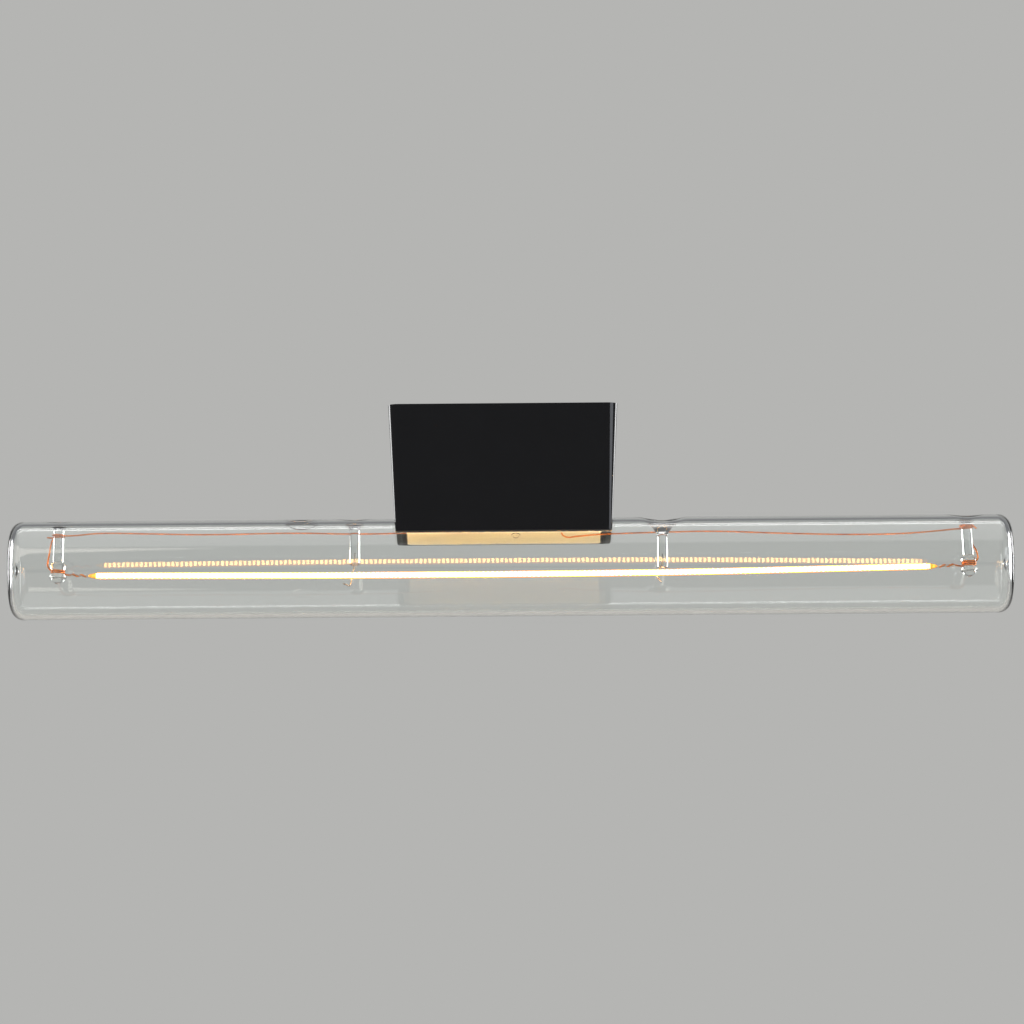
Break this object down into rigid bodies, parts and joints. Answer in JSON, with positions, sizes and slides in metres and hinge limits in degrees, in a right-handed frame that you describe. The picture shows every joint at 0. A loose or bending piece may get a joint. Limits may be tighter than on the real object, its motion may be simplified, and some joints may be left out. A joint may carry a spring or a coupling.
{
  "type": "tubular light bulb",
  "caption": "Clear glass tubular LED filament lamp with a saddle base on its side, plugged into a tapered gloss black lampholder that screws to a ceiling or wall.",
  "frame": {"origin": "centre of the holder's flat mounting face, midway between its two screw holes", "axes": "+X along the glass tube to the right, +Z out of the mounting face towards the ceiling, -Y towards the viewer"},
  "size_m": [0.3, 0.0348, 0.0617],
  "materials": {
    "black_gloss": "moulded, polished high gloss black",
    "cream_thermoset": "moulded thermoset, fine matt",
    "bronze_spring": "rolled spring bronze, bright",
    "zinc_steel": "zinc plated",
    "spring_steel": "rolled, bright",
    "clear_glass": "clear drawn glass, fire polished",
    "phosphor_silicone": "phosphor-filled silicone, lit",
    "plated_tab": "stamped and plated",
    "copper_wire": "drawn copper, slightly dulled",
    "hook_wire": "drawn refractory wire",
    "white_plastic": "moulded, fine satin",
    "brass_pin": "turned brass",
    "circuit_board": "green solder mask",
    "component_black": "moulded epoxy, matt",
    "aluminium_can": "drawn can",
    "resistor_coat": "dipped lacquer"
  },
  "bodies": {
    "holder": {"holder_cover": "black_gloss", "socket_base": "cream_thermoset", "contact_spring_left": "bronze_spring", "contact_spring_right": "bronze_spring", "terminal_screws": "zinc_steel", "retaining_spring_front": "spring_steel", "retaining_spring_rear": "spring_steel", "spring_rivets": "zinc_steel"},
    "lamp": {"glass_envelope": "clear_glass", "led_filament": "phosphor_silicone", "filament_tab_left": "plated_tab", "filament_tab_right": "plated_tab", "lead_wire_left": "copper_wire", "lead_wire_right": "copper_wire", "support_hook_left": "hook_wire", "support_hook_right": "hook_wire", "base_housing": "white_plastic", "base_lid": "white_plastic", "contact_pin_left": "brass_pin", "contact_pin_right": "brass_pin", "driver_board": "circuit_board", "bridge_rectifier": "component_black", "driver_chip": "component_black", "buffer_capacitor": "aluminium_can", "fuse_resistor": "resistor_coat", "choke_coil": "component_black"}
  },
  "joints": [
    {"name": "lamp_pull", "type": "slide", "parent": "holder", "child": "lamp", "axis": [0, 0, -1], "range_m": [0, 0.028]}
  ]
}
